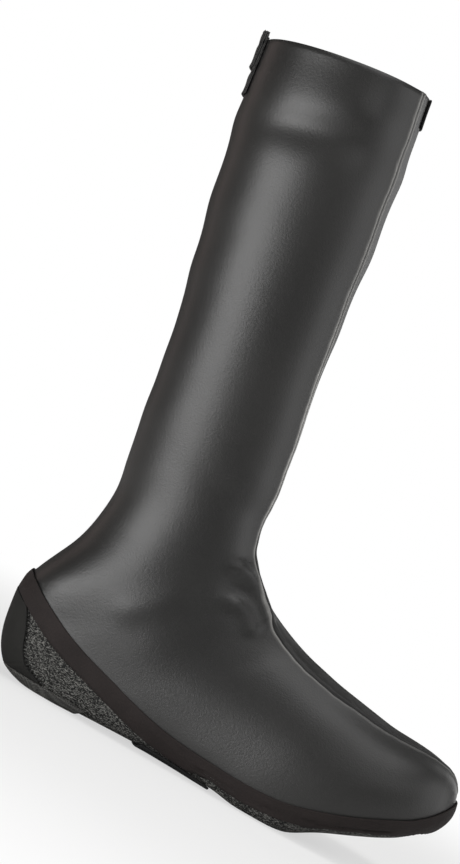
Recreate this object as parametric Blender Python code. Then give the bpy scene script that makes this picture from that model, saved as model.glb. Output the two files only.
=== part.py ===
# Tall neoprene cycling overshoe for the right foot, standing empty on its sole.
# Toe towards +X, inner side towards +Y, floor at Z = 0. Sizes are in millimetres until meshes are made.

import math
from collections import namedtuple

import bmesh
import bpy
import numpy as np
from mathutils import Matrix, Vector

MM = 0.001

# Driving sizes of the foot and the leg
LENGTH = 298.5
BALL_WIDTH = 104.0
INSTEP_HEIGHT = 131.5
SHAFT_HEIGHT = 292.0
COLLAR_DEPTH = 106.0
COLLAR_WIDTH = 102.0
ANKLE_X = 68.0
ANKLE_Z = 133.0
SHAFT_LEAN_DEG = 9.0

# Neoprene, cloth and trim
NEOPRENE = 3.0
SOLE_CLOTH = 2.0
PIECE_GAP = 0.35
OVERLAY_GAP = 0.5
BINDING_WIDTH = 11.5
BINDING_THICKNESS = 0.9
HEEL_PANEL_HALF_WIDTH = 30.5
HEEL_PANEL_THICKNESS = 1.0
HEEL_PANEL_GAP = 0.65
HEEL_PATCH_THICKNESS = 1.3
HEEL_PATCH_GAP = 0.6
HEEL_PATCH_END = 64.0
HEEL_PATCH_RISE = 6.5
HEEL_PANEL_LEVEL = HEEL_PATCH_RISE + 2 * PIECE_GAP
HEEL_PANEL_SHIFT = -BINDING_WIDTH / 2 - 3 * PIECE_GAP
STRAP_THICKNESS = 1.2
STRAP_BACK = 107.0
STRAP_FRONT = 156.0
STRAP_RISE = 5.5
SEAM_RISE = 0.8
SEAM_CREST = 2.0
SEAM_FOOT = 5.5
SEAM_FULL_SIZE = 60.0
BACK_SEAM_DEPTH = 0.4
BACK_SEAM_HALF_WIDTH = 2.5

# Opening for the cleat, in the tread
CLEAT_CENTRE_X = 190.0
CLEAT_LENGTH = 58.0
CLEAT_WIDTH = 50.0
CLEAT_SIDES = 32

# Pull loop of folded webbing at the back of the collar, and the tab at its front
LOOP_WIDTH = 25.0
LOOP_BELOW = 35.0
LOOP_FLAP_BELOW = 18.0
LOOP_ABOVE = 4.5
LOOP_COLUMNS = 7
FOLD_STEPS = 6
WEBBING = 1.4
WEBBING_SLOT = 0.4
TAB_WIDTH = 15.0
TAB_BELOW = 18.0
TAB_THICKNESS = 1.2

# Mesh density
RING_SAMPLES = 240
SHAFT_STEP = 26.0
FOOT_STEP = 9.5
EDGE_STEP = 3.2
OUTER_COLUMNS = 8
INNER_COLUMNS = 9
SOLE_COLUMNS = 7
CORNER_WEIGHT = 14.0
TIP_SHARES = (0.0, 1 / 9, 4 / 9)

# Shaft sections, from above the collar down to the ankle. Height is a share of SHAFT_HEIGHT above the ankle,
# front and back are shares of COLLAR_DEPTH from the axis, width is a share of COLLAR_WIDTH.
ShaftRow = namedtuple("ShaftRow", "name height front back width")
SHAFT_ROWS = (
    ShaftRow("above_collar", 1.03, 0.503, 0.500, 1.000),
    ShaftRow("collar", 1.00, 0.503, 0.502, 1.000),
    ShaftRow("calf_top", 0.85, 0.505, 0.513, 1.000),
    ShaftRow("calf", 0.70, 0.499, 0.494, 0.960),
    ShaftRow("calf_low", 0.51, 0.470, 0.459, 0.892),
    ShaftRow("shin", 0.34, 0.456, 0.430, 0.825),
    ShaftRow("shin_low", 0.20, 0.462, 0.434, 0.778),
    ShaftRow("ankle_top", 0.08, 0.451, 0.430, 0.750),
    ShaftRow("ankle", 0.00, 0.449, 0.434, 0.745),
)

# Foot sections, from the throat round the heel and along the foot to the toe. Each lies in the plane
# through its top and bottom points. x is a share of LENGTH, z a share of INSTEP_HEIGHT, width a share of
# BALL_WIDTH, centre is how far the section moves to the inner side in mm, widest is the share of the way
# down where it is widest, round_top and round_low are the powers of its two halves (2 is an ellipse).
FootRow = namedtuple("FootRow", "name top_x top_z low_x low_z width centre widest round_top round_low")
FOOT_ROWS = (
    FootRow("throat", 0.405, 1.000, 0.059, 0.722, 0.730, 0.0, 0.56, 2.10, 2.10),
    FootRow("heel_top", 0.430, 0.932, 0.023, 0.548, 0.740, 0.0, 0.61, 2.20, 2.25),
    FootRow("heel_edge", 0.456, 0.879, 0.002, 0.418, 0.750, 0.0, 0.64, 2.25, 2.35),
    FootRow("heel_back", 0.481, 0.841, 0.006, 0.281, 0.750, 0.0, 0.66, 2.30, 2.40),
    FootRow("heel_low", 0.506, 0.813, 0.018, 0.156, 0.745, 0.0, 0.67, 2.30, 2.50),
    FootRow("heel_turn", 0.531, 0.788, 0.044, 0.057, 0.740, 0.0, 0.67, 2.30, 2.70),
    FootRow("heel_seat", 0.558, 0.764, 0.107, 0.002, 0.740, -0.4, 0.66, 2.30, 3.00),
    FootRow("heel_front", 0.590, 0.740, 0.221, 0.002, 0.760, -1.2, 0.64, 2.30, 3.40),
    FootRow("arch", 0.627, 0.719, 0.348, 0.012, 0.800, -1.8, 0.63, 2.25, 3.60),
    FootRow("waist", 0.670, 0.696, 0.476, 0.006, 0.880, -1.4, 0.64, 2.20, 3.80),
    FootRow("ball", 0.717, 0.677, 0.590, -0.024, 0.970, 0.0, 0.66, 2.20, 4.00),
    FootRow("tread", 0.764, 0.659, 0.683, -0.024, 1.000, 1.2, 0.66, 2.15, 4.00),
    FootRow("toe_joint", 0.814, 0.641, 0.767, 0.065, 0.985, 2.8, 0.66, 2.10, 3.80),
    FootRow("toes", 0.861, 0.635, 0.841, 0.132, 0.915, 4.2, 0.64, 2.10, 3.50),
    FootRow("toe_box", 0.905, 0.626, 0.905, 0.195, 0.790, 5.4, 0.61, 2.10, 3.10),
    FootRow("toe_front", 0.942, 0.608, 0.955, 0.266, 0.615, 6.4, 0.58, 2.10, 2.70),
    FootRow("toe_cap", 0.967, 0.580, 0.987, 0.337, 0.420, 7.2, 0.54, 2.05, 2.30),
    FootRow("toe_tip", 0.982, 0.546, 0.999, 0.403, 0.240, 7.8, 0.50, 2.00, 2.00),
    FootRow("toe_pole", 0.992, 0.494, 0.992, 0.494, 0.000, 8.0, 0.50, 2.00, 2.00),
)

# Line where neoprene meets the sole cloth, seen from the side: x is a share of LENGTH, z of INSTEP_HEIGHT.
EdgeRow = namedtuple("EdgeRow", "name x z")
EDGE_ROWS = (
    EdgeRow("behind_heel", -0.030, 0.475),
    EdgeRow("heel_back", 0.010, 0.424),
    EdgeRow("heel_side", 0.054, 0.365),
    EdgeRow("heel_front", 0.151, 0.259),
    EdgeRow("arch_back", 0.248, 0.190),
    EdgeRow("arch", 0.362, 0.120),
    EdgeRow("waist", 0.489, 0.080),
    EdgeRow("ball", 0.593, 0.072),
    EdgeRow("tread", 0.677, 0.086),
    EdgeRow("toe_joint", 0.744, 0.124),
    EdgeRow("toes", 0.868, 0.227),
    EdgeRow("toe_front", 0.958, 0.331),
    EdgeRow("toe_tip", 1.000, 0.422),
    EdgeRow("past_toe", 1.020, 0.480),
)

# How far the front seam runs to the outer side of the front's middle, in mm round the section of that name.
SeamRow = namedtuple("SeamRow", "name out")
SEAM_ROWS = (
    SeamRow("above_collar", 25.0),
    SeamRow("calf", 23.0),
    SeamRow("calf_low", 18.0),
    SeamRow("shin", 13.5),
    SeamRow("shin_low", 11.0),
    SeamRow("ankle", 10.5),
    SeamRow("heel_top", 12.5),
    SeamRow("heel_low", 17.0),
    SeamRow("arch", 22.0),
    SeamRow("ball", 23.0),
    SeamRow("toe_joint", 20.0),
    SeamRow("toe_box", 14.0),
    SeamRow("toe_cap", 6.0),
    SeamRow("toe_pole", 0.0),
)

# Lowest level of the sole cloth, with room below it for the heel patch and the strap.
FloorRow = namedtuple("FloorRow", "name x level")
FLOOR_ROWS = (
    FloorRow("heel", -10.0, HEEL_PATCH_THICKNESS + HEEL_PATCH_GAP),
    FloorRow("heel_front", 78.0, HEEL_PATCH_THICKNESS + HEEL_PATCH_GAP),
    FloorRow("arch_back", 98.0, STRAP_THICKNESS + 2 * OVERLAY_GAP),
    FloorRow("arch_front", 165.0, STRAP_THICKNESS + 2 * OVERLAY_GAP),
    FloorRow("ball", 173.0, 0.0),
    FloorRow("toe", 320.0, 0.0),
)

# Material of each piece: colour and roughness.
Finish = namedtuple("Finish", "name red green blue roughness")
FINISHES = (
    Finish("upper", 0.022, 0.022, 0.024, 0.50),
    Finish("sole", 0.210, 0.210, 0.205, 0.85),
    Finish("edge_binding", 0.020, 0.017, 0.016, 0.70),
    Finish("heel_panel", 0.014, 0.014, 0.015, 0.60),
    Finish("heel_patch", 0.028, 0.027, 0.026, 0.85),
    Finish("arch_strap", 0.012, 0.012, 0.012, 0.80),
    Finish("pull_loop", 0.030, 0.030, 0.031, 0.75),
    Finish("front_collar_tab", 0.014, 0.014, 0.015, 0.65),
)


class SmoothTable:
    """Rows of values joined by a smooth curve and read by distance along it."""

    def __init__(self, knots, values):
        self.knots = np.asarray(knots, float)
        self.values = np.asarray(values, float)
        steps = np.diff(self.knots)[:, None]
        slopes = np.diff(self.values, axis=0) / steps
        inner = (slopes[:-1] * steps[1:] + slopes[1:] * steps[:-1]) / (steps[:-1] + steps[1:])
        self.tangents = np.vstack([slopes[:1], inner, slopes[-1:]])

    def at(self, where):
        row = int(np.clip(np.searchsorted(self.knots, where) - 1, 0, len(self.knots) - 2))
        step = self.knots[row + 1] - self.knots[row]
        t = (where - self.knots[row]) / step
        start = self.values[row]
        end = self.values[row + 1]
        leave = self.tangents[row] * step
        arrive = self.tangents[row + 1] * step
        ease = 3 * t**2 - 2 * t**3
        return start * (1 - ease) + end * ease + leave * (t**3 - 2 * t**2 + t) + arrive * (t**3 - t**2)


def shaft_axes():
    lean = math.radians(SHAFT_LEAN_DEG)
    up = np.array([-math.sin(lean), math.cos(lean)])
    forward = np.array([math.cos(lean), math.sin(lean)])
    return up, forward


def shaft_section(row):
    up, forward = shaft_axes()
    middle = np.array([ANKLE_X, ANKLE_Z]) + up * row.height * SHAFT_HEIGHT
    front = middle + forward * row.front * COLLAR_DEPTH
    back = middle - forward * row.back * COLLAR_DEPTH
    return [*front, *back, row.width * COLLAR_WIDTH / 2, 0.0, 0.52, 2.1, 2.1]


def foot_section(row):
    top = [row.top_x * LENGTH, row.top_z * INSTEP_HEIGHT]
    low = [row.low_x * LENGTH, row.low_z * INSTEP_HEIGHT]
    return [*top, *low, row.width * BALL_WIDTH / 2, row.centre, row.widest, row.round_top, row.round_low]


def section_places(sections):
    """Distance along the boot of each section: the mean travel of its top and bottom points."""
    travel = np.diff(sections[:, :4], axis=0)
    steps = (np.hypot(travel[:, 0], travel[:, 1]) + np.hypot(travel[:, 2], travel[:, 3])) / 2
    return np.concatenate([[0.0], np.cumsum(steps)])


SECTIONS = np.array([shaft_section(r) for r in SHAFT_ROWS] + [foot_section(r) for r in FOOT_ROWS])
PLACES = section_places(SECTIONS)
PLACE_OF = {row.name: place for row, place in zip((*SHAFT_ROWS, *FOOT_ROWS), PLACES)}
FORM = SmoothTable(PLACES, SECTIONS)
SEAM = SmoothTable([PLACE_OF[r.name] for r in SEAM_ROWS], [[r.out] for r in SEAM_ROWS])
EDGE = SmoothTable([r.x * LENGTH for r in EDGE_ROWS], [[r.z * INSTEP_HEIGHT] for r in EDGE_ROWS])


def floor_level(x):
    return np.interp(x, [r.x for r in FLOOR_ROWS], [r.level for r in FLOOR_ROWS])


def edge_height(x, shift):
    """Height of the edge line at x, with the line moved up by shift square to itself."""
    slope = EDGE.at(x + 0.5)[0] - EDGE.at(x - 0.5)[0]
    return EDGE.at(x)[0] + shift * math.hypot(1.0, slope)


def half_ring(place, side):
    """Half of one section from top to bottom: its points, their arcs and their shares of the way down."""
    top_x, top_z, low_x, low_z, width, centre, widest, round_top, round_low = FORM.at(place)
    angle = np.linspace(0.0, math.pi, RING_SAMPLES + 1)
    in_top = angle <= math.pi / 2
    power = np.where(in_top, round_top, round_low)
    reach = np.abs(np.cos(angle)) ** (2 / power)
    down = np.where(in_top, widest * (1 - reach), widest + (1 - widest) * reach)
    out = max(width, 0.0) * np.abs(np.sin(angle)) ** (2 / power)
    out[-1] = 0.0
    x = top_x + down * (low_x - top_x)
    z = np.maximum(top_z + down * (low_z - top_z), floor_level(x))
    points = np.column_stack([x, centre + side * out, z])
    arcs = np.concatenate([[0.0], np.cumsum(np.linalg.norm(np.diff(points, axis=0), axis=1))])
    return points, arcs, down


def low_clearance(place, shift):
    """Height of a section's bottom point over the edge line: below zero, the line crosses the section."""
    low_x, low_z = FORM.at(place)[2:4]
    return low_z - edge_height(low_x, shift)


def edge_share(place, shift):
    """Share of the way down a section at which the edge line crosses it, or 1 where it passes below."""
    top_x, top_z, low_x, low_z = FORM.at(place)[:4]
    if low_clearance(place, shift) >= 0:
        return 1.0
    high = 0.0
    low = 1.0
    for _ in range(50):
        middle = (high + low) / 2
        above = top_z + middle * (low_z - top_z) > edge_height(top_x + middle * (low_x - top_x), shift)
        if above:
            high = middle
        else:
            low = middle
    return (high + low) / 2


def level_share(place, level):
    """Share of the way down a section at which it reaches a height."""
    top_z = FORM.at(place)[1]
    low_z = FORM.at(place)[3]
    return float(np.clip((top_z - level) / (top_z - low_z), 0.0, 1.0))


def halve(start, end, test):
    """Place between start and end where test changes its answer."""
    first = test(start)
    for _ in range(50):
        middle = (start + end) / 2
        if test(middle) == first:
            start = middle
        else:
            end = middle
    return (start + end) / 2


def edge_span(shift):
    """First and last place where the edge line, moved by shift, crosses the sections."""

    def crossed(place):
        return low_clearance(place, shift) < 0

    first = halve(PLACE_OF["throat"], PLACE_OF["heel_seat"], crossed)
    last = halve(PLACE_OF["toe_box"], PLACE_OF["toe_pole"], crossed)
    return first, last


def place_under(x):
    """Place of the section whose bottom point lies at x, on the way from heel to toe."""
    return halve(PLACE_OF["heel_back"], PLACE_OF["toe_box"], lambda place: FORM.at(place)[2] < x)


def shared_places():
    """Places of the rings that every piece shares, closer together where the edge line turns."""
    reach = BINDING_WIDTH / 2
    heel_first = edge_span(reach)[0] - EDGE_STEP
    heel_last = edge_span(-reach)[0] + 3 * EDGE_STEP
    toe_first = edge_span(-reach)[1] - 2 * EDGE_STEP
    stops = (
        (PLACE_OF["collar"], PLACE_OF["ankle_top"], SHAFT_STEP),
        (PLACE_OF["ankle_top"], heel_first, FOOT_STEP),
        (heel_first, heel_last, EDGE_STEP),
        (heel_last, toe_first, FOOT_STEP),
        (toe_first, PLACE_OF["toe_pole"], EDGE_STEP),
    )
    places = [PLACE_OF["collar"]]
    for start, end, step in stops:
        places.extend(np.linspace(start, end, max(round((end - start) / step), 1) + 1)[1:])
    return places


SHARED_PLACES = shared_places()


def rings_from(start, end, stops=(), opening=(), closing=()):
    """The shared places from start to end, with the stops, and finer where an outline opens or closes."""
    fixed = [start, *stops, end]
    for share in TIP_SHARES:
        fixed.extend(place + share * EDGE_STEP for place in opening)
        fixed.extend(place - share * EDGE_STEP for place in closing)
    room = EDGE_STEP / 3
    between = [p for p in SHARED_PLACES if start < p < end and min(abs(p - f) for f in fixed) > room]
    return sorted({*fixed, *between})


def new_object(name, bm):
    mesh = bpy.data.meshes.new(name)
    bm.to_mesh(mesh)
    bm.free()
    body = bpy.data.objects.new(name, mesh)
    bpy.context.collection.objects.link(body)
    return body


def on_ring(place, side, shares):
    """Points of a half section at the given shares of its arc length."""
    points, arcs, _ = half_ring(place, side)
    return np.column_stack([np.interp(shares * arcs[-1], arcs, points[:, axis]) for axis in range(3)])


def outward(place, side, shares):
    """Outward directions of the form at the given shares of a half section's arc length."""
    step = 0.5
    first = max(place - step, PLACES[0])
    last = min(place + step, PLACES[-1] - step / 10)
    along = on_ring(last, side, shares) - on_ring(first, side, shares)
    round_step = 0.004
    near = np.minimum(shares + round_step, 1.0)
    far = np.maximum(shares - round_step, 0.0)
    level = min(place, PLACES[-1] - step)
    across = on_ring(level, side, near) - on_ring(level, side, far)
    normals = np.cross(along, across) * side
    return normals / np.linalg.norm(normals, axis=1, keepdims=True)


def join_shell(bm, directions, near, far):
    """Turns a sheet on the form into a closed wall: inner side near from the form, outer side far from it."""
    rises = bm.verts.layers.float["rise"]
    rims = [edge for edge in bm.edges if edge.is_boundary]
    outer_faces = list(bm.faces)
    inner = {}
    for vert in list(bm.verts):
        away = vert[directions]
        inner_rise = vert[rises] if near > 0 else 0.0
        inner[vert] = bm.verts.new(vert.co + away * (near + inner_rise) * MM)
        vert.co += away * (far + vert[rises]) * MM
    for edge in rims:
        loop = edge.link_loops[0]
        start = loop.vert
        end = loop.link_loop_next.vert
        bm.faces.new((end, start, inner[start], inner[end]))
    for face in outer_faces:
        bm.faces.new([inner[vert] for vert in reversed(face.verts)])


def wall(name, places, columns, near, far):
    """Closed wall over the form. columns gives (arc, rise) of each point of a half section."""
    bm = bmesh.new()
    directions = bm.verts.layers.float_vector.new("direction")
    rises = bm.verts.layers.float.new("rise")
    for side in (-1, 1):
        grid = []
        for place in places:
            arcs = half_ring(place, side)[1]
            spots = np.array(columns(place, side, arcs))
            shares = spots[:, 0] / max(arcs[-1], 1e-6)
            line = [bm.verts.new(Vector(spot) * MM) for spot in on_ring(place, side, shares)]
            for vert, away, rise in zip(line, outward(place, side, shares), spots[:, 1]):
                vert[directions] = Vector(away)
                vert[rises] = rise
            grid.append(line)
        for upper_line, lower_line in zip(grid, grid[1:]):
            for near_side in range(len(upper_line) - 1):
                far_side = near_side + 1
                high_near, high_far = upper_line[near_side], upper_line[far_side]
                low_near, low_far = lower_line[near_side], lower_line[far_side]
                if side < 0:
                    bm.faces.new((high_far, low_far, low_near, high_near))
                else:
                    bm.faces.new((low_near, low_far, high_far, high_near))
    bmesh.ops.remove_doubles(bm, verts=bm.verts, dist=0.02 * MM)
    bmesh.ops.dissolve_degenerate(bm, edges=bm.edges, dist=0.01 * MM)
    join_shell(bm, directions, near, far)
    return new_object(name, bm)


def spread(place, side, start, end, count):
    """Arcs from start to end of a half section, closer together where it turns."""
    points, arcs, _ = half_ring(place, side)
    steps = np.diff(points, axis=0)
    lengths = np.linalg.norm(steps, axis=1)
    headings = steps / np.maximum(lengths, 1e-6)[:, None]
    turns = np.arccos(np.clip(np.sum(headings[1:] * headings[:-1], axis=1), -1.0, 1.0))
    turns[(lengths[1:] < 0.001) | (lengths[:-1] < 0.001)] = 0.0
    turned = np.concatenate([[0.0], np.cumsum(turns), [np.sum(turns)]])
    measure = arcs + CORNER_WEIGHT * turned
    first, last = np.interp([start, end], arcs, measure)
    return [float(arc) for arc in np.interp(np.linspace(first, last, count + 1), measure, arcs)]


def flat_columns(arcs):
    return [(arc, 0.0) for arc in arcs]


def arc_down(place, side, share):
    _, arcs, down = half_ring(place, side)
    return float(np.interp(share, down, arcs))


def arc_near_middle(place, side, out):
    """Arc at which the lower part of a half section comes within out of its middle."""
    points, arcs, down = half_ring(place, side)
    close = (np.abs(points[:, 1] - FORM.at(place)[5]) <= out) & (down > 0.5)
    return float(arcs[close][0])


def front_columns(place, side, size):
    """Points of the front of a half section; the outer half has the seam, a groove between two lips."""
    middle = [(0.0, 0.0), (TAB_WIDTH / 2 * size, 0.0)]
    if side > 0:
        return middle
    foot = SEAM_FOOT * size
    crest = SEAM_CREST * size
    rise = SEAM_RISE * size
    groove = max(SEAM.at(place)[0], 1.5 * foot)
    inside = groove - foot
    middle[1] = (min(middle[1][0], inside / 2), 0.0)
    lips = [(groove - crest, rise), (groove, 0.0), (groove + crest, rise)]
    return [*middle, (inside, 0.0), *lips, (groove + foot, 0.0)]


def upper_columns(place, side):
    """Points of the upper's half section: the front, the side, and the back seam where the section closes."""
    shift = PIECE_GAP / 2
    end = arc_down(place, side, edge_share(place, shift))
    size = min(1.0, end / SEAM_FULL_SIZE)
    front = front_columns(place, side, size)
    close = BACK_SEAM_HALF_WIDTH * size
    count = OUTER_COLUMNS if side < 0 else INNER_COLUMNS
    sides = flat_columns(spread(place, side, front[-1][0], end - close, count)[1:])
    has_back_seam = place <= edge_span(shift)[0]
    return [*front, *sides, (end, -BACK_SEAM_DEPTH if has_back_seam else 0.0)]


def build_upper():
    def columns(place, side, arcs):
        return upper_columns(place, side)

    places = rings_from(PLACE_OF["collar"], PLACE_OF["toe_pole"], edge_span(PIECE_GAP / 2))
    return wall("upper", places, columns, -NEOPRENE, 0.0)


def heel_panel_span():
    """Places where the heel panel starts, where its lower edge leaves the middle, and where it ends."""

    def reaches_side(place):
        level_arc = arc_down(place, 1, level_share(place, HEEL_PANEL_LEVEL))
        return arc_near_middle(place, 1, HEEL_PANEL_HALF_WIDTH) < level_arc

    first = edge_span(HEEL_PANEL_SHIFT)[0]
    turn = halve(PLACE_OF["heel_back"], PLACE_OF["heel_seat"], lambda p: FORM.at(p)[3] > HEEL_PANEL_LEVEL)
    last = halve(turn, PLACE_OF["heel_seat"], reaches_side)
    return first, turn, last


def sole_arcs(place, side):
    start = arc_down(place, side, edge_share(place, -PIECE_GAP / 2))
    return spread(place, side, start, half_ring(place, side)[1][-1], SOLE_COLUMNS)


def build_sole():
    first, last = edge_span(-PIECE_GAP / 2)

    def columns(place, side, arcs):
        return flat_columns(sole_arcs(place, side))

    sole = wall("sole", rings_from(first, last), columns, -SOLE_CLOTH, 0.0)
    bm = bmesh.new()
    outline = []
    for step in range(CLEAT_SIDES):
        turn = 2 * math.pi * step / CLEAT_SIDES
        x = CLEAT_CENTRE_X + CLEAT_LENGTH / 2 * math.copysign(abs(math.cos(turn)) ** 0.75, math.cos(turn))
        y = CLEAT_WIDTH / 2 * math.copysign(abs(math.sin(turn)) ** 0.75, math.sin(turn))
        outline.append(bm.verts.new((x * MM, y * MM, -5 * MM)))
    floor = bm.faces.new(outline)
    raised = bmesh.ops.extrude_face_region(bm, geom=[floor])["geom"]
    top_corners = [item for item in raised if isinstance(item, bmesh.types.BMVert)]
    bmesh.ops.translate(bm, vec=(0, 0, 15 * MM), verts=top_corners)
    bmesh.ops.recalc_face_normals(bm, faces=bm.faces)
    cutter = new_object("cleat_cutter", bm)
    cutter.hide_render = True
    cutter.display_type = "WIRE"
    cut = sole.modifiers.new("cleat_opening", "BOOLEAN")
    cut.operation = "DIFFERENCE"
    cut.solver = "EXACT"
    cut.object = cutter
    return sole


def build_edge_binding():
    reach = BINDING_WIDTH / 2
    first, last = edge_span(reach)
    inner_first, inner_last = edge_span(-reach)

    def columns(place, side, arcs):
        shifts = (reach, PIECE_GAP / 2, -reach)
        top, middle, bottom = [arc_down(place, side, edge_share(place, shift)) for shift in shifts]
        above = np.clip([arc for arc, _ in upper_columns(place, side)], top, middle)
        below = np.clip(sole_arcs(place, side)[1:], middle, bottom)
        return flat_columns([top, *above, *below, bottom])

    places = rings_from(first, last, edge_span(PIECE_GAP / 2), (first, inner_first), (last, inner_last))
    return wall("edge_binding", places, columns, OVERLAY_GAP, OVERLAY_GAP + BINDING_THICKNESS)


def build_heel_panel():
    first, turn, last = heel_panel_span()

    def columns(place, side, arcs):
        below = arc_down(place, side, edge_share(place, HEEL_PANEL_SHIFT))
        stop = arc_down(place, side, level_share(place, HEEL_PANEL_LEVEL))
        start = min(max(below, arc_near_middle(place, side, HEEL_PANEL_HALF_WIDTH)), stop)
        return flat_columns([start, *np.clip(sole_arcs(place, side), start, stop), stop])

    places = rings_from(first, last, (), (first, turn))
    return wall("heel_panel", places, columns, HEEL_PANEL_GAP, HEEL_PANEL_GAP + HEEL_PANEL_THICKNESS)


def build_heel_patch():
    first = halve(PLACE_OF["heel_back"], PLACE_OF["heel_seat"], lambda p: FORM.at(p)[3] > HEEL_PATCH_RISE)
    last = place_under(HEEL_PATCH_END)

    def columns(place, side, arcs):
        start = arc_down(place, side, level_share(place, HEEL_PATCH_RISE))
        return flat_columns([start, *np.maximum(sole_arcs(place, side), start)])

    places = rings_from(first, last, np.arange(first, PLACE_OF["heel_seat"], EDGE_STEP), (first,))
    return wall("heel_patch", places, columns, HEEL_PATCH_GAP, HEEL_PATCH_GAP + HEEL_PATCH_THICKNESS)


def build_arch_strap():
    shift = -BINDING_WIDTH / 2 - 3 * PIECE_GAP

    def columns(place, side, arcs):
        start = arc_down(place, side, max(level_share(place, STRAP_RISE), edge_share(place, shift)))
        return flat_columns([start, *np.maximum(sole_arcs(place, side), start)])

    places = rings_from(place_under(STRAP_BACK), place_under(STRAP_FRONT))
    return wall("arch_strap", places, columns, OVERLAY_GAP, OVERLAY_GAP + STRAP_THICKNESS)


def build_front_collar_tab():
    top = PLACE_OF["collar"] + PIECE_GAP

    def columns(place, side, arcs):
        return flat_columns((0.0, TAB_WIDTH / 4, TAB_WIDTH / 2))

    places = rings_from(top, top + TAB_BELOW, (top + TAB_BELOW / 2,))
    return wall("front_collar_tab", places, columns, PIECE_GAP, PIECE_GAP + TAB_THICKNESS)


def back_frame(place, across):
    """Point of the back of the shaft that lies across mm from its middle, and the outward direction there."""
    points, arcs, _ = half_ring(place, -1 if across < 0 else 1)
    arc = arcs[-1] - abs(across)
    here, towards = [
        np.array([np.interp(a, arcs, points[:, axis]) for axis in range(3)]) for a in (arc, arc - 1.0)
    ]
    up, _ = shaft_axes()
    out = np.cross(towards - here, [up[0], 0.0, up[1]])
    out = out / np.linalg.norm(out)
    if out[0] > 0:
        out = -out
    return here, out


def loop_outline():
    """Side view of the folded webbing: (height over the collar, distance from the shaft), once round."""
    inner = PIECE_GAP
    middle = inner + WEBBING + WEBBING_SLOT / 2
    fold_out = WEBBING + WEBBING_SLOT / 2
    fold_in = WEBBING_SLOT / 2
    turn_height = LOOP_ABOVE - fold_out
    turns = [math.pi * step / FOLD_STEPS for step in range(FOLD_STEPS + 1)]
    outer_fold = [(turn_height + fold_out * math.sin(t), middle - fold_out * math.cos(t)) for t in turns]
    inner_fold = [(turn_height + fold_in * math.sin(t), middle + fold_in * math.cos(t)) for t in turns]
    stem = [(-LOOP_BELOW * share, inner) for share in (1.0, 0.66, 0.33)]
    flap = [(-LOOP_FLAP_BELOW, middle + fold_out), (-LOOP_FLAP_BELOW, middle + fold_in)]
    back_down = [(-LOOP_BELOW * share, inner + WEBBING) for share in (0.33, 0.66, 1.0)]
    return [*stem, *outer_fold, *flap, *inner_fold, *back_down]


def build_pull_loop():
    bm = bmesh.new()
    lines = []
    for across in np.linspace(-LOOP_WIDTH / 2, LOOP_WIDTH / 2, LOOP_COLUMNS):
        line = []
        for height, out in loop_outline():
            here, away = back_frame(PLACE_OF["collar"] - height, across)
            line.append(bm.verts.new(Vector(here + away * out) * MM))
        lines.append(line)
    count = len(lines[0])
    for near, far in zip(lines, lines[1:]):
        for step in range(count):
            after = (step + 1) % count
            bm.faces.new((near[step], near[after], far[after], far[step]))
    bm.faces.new(lines[0][::-1])
    bm.faces.new(lines[-1])
    bmesh.ops.recalc_face_normals(bm, faces=bm.faces)
    return new_object("pull_loop", bm)


def finish_material(body, finish):
    material = bpy.data.materials.new(finish.name)
    material.use_nodes = True
    shader = material.node_tree.nodes["Principled BSDF"]
    shader.inputs["Base Color"].default_value = (finish.red, finish.green, finish.blue, 1.0)
    shader.inputs["Roughness"].default_value = finish.roughness
    body.data.materials.append(material)


def centre_over_origin(bodies):
    """Moves every piece, and its cutter, so that the bounding box stands centred over the origin."""
    bpy.context.view_layer.update()
    graph = bpy.context.evaluated_depsgraph_get()
    corners = []
    for body in bodies:
        corners.extend(v.co.copy() for v in body.evaluated_get(graph).data.vertices)
    spans = [(min(c[axis] for c in corners), max(c[axis] for c in corners)) for axis in range(2)]
    move = Matrix.Translation([-(low + high) / 2 for low, high in spans] + [0.0])
    for body in bpy.context.collection.objects:
        body.data.transform(move)


for old in list(bpy.data.objects):
    bpy.data.objects.remove(old)

PIECES = [
    build_upper(),
    build_sole(),
    build_edge_binding(),
    build_heel_panel(),
    build_heel_patch(),
    build_arch_strap(),
    build_pull_loop(),
    build_front_collar_tab(),
]
for piece in PIECES:
    finish_material(piece, next(f for f in FINISHES if f.name == piece.name))
centre_over_origin(PIECES)
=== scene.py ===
import math
import bmesh
import bpy
import numpy as np
from mathutils import Matrix, Vector
from mathutils.bvhtree import BVHTree
from mathutils.kdtree import KDTree


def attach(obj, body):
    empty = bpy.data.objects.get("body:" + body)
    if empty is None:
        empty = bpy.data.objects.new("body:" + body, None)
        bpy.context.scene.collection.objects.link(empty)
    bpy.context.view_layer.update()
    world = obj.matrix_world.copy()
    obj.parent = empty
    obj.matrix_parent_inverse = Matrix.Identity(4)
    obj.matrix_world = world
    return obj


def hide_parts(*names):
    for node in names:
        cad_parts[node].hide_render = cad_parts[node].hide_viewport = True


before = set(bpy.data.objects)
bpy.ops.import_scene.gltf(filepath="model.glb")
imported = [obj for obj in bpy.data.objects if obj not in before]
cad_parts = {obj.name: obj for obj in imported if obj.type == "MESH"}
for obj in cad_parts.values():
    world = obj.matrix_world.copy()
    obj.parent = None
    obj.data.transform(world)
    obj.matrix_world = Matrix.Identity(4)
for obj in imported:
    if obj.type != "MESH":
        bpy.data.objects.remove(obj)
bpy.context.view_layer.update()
print("frame loaded:", len(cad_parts), "nodes")

mm = 0.001
midY = -0.00155  # middle of the heel and the shaft


# camera and studio

cameraSet = {
    "place": (-0.0665, -1.6, 0.194),
    "distance": 1.6,
    "frameHeight": 0.528,  # height of the picture at that distance
    "sensor": 36.0,
    "rollDeg": 29.0,  # turns the heel up in the picture
    "clipEnd": 50.0,
}

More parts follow.
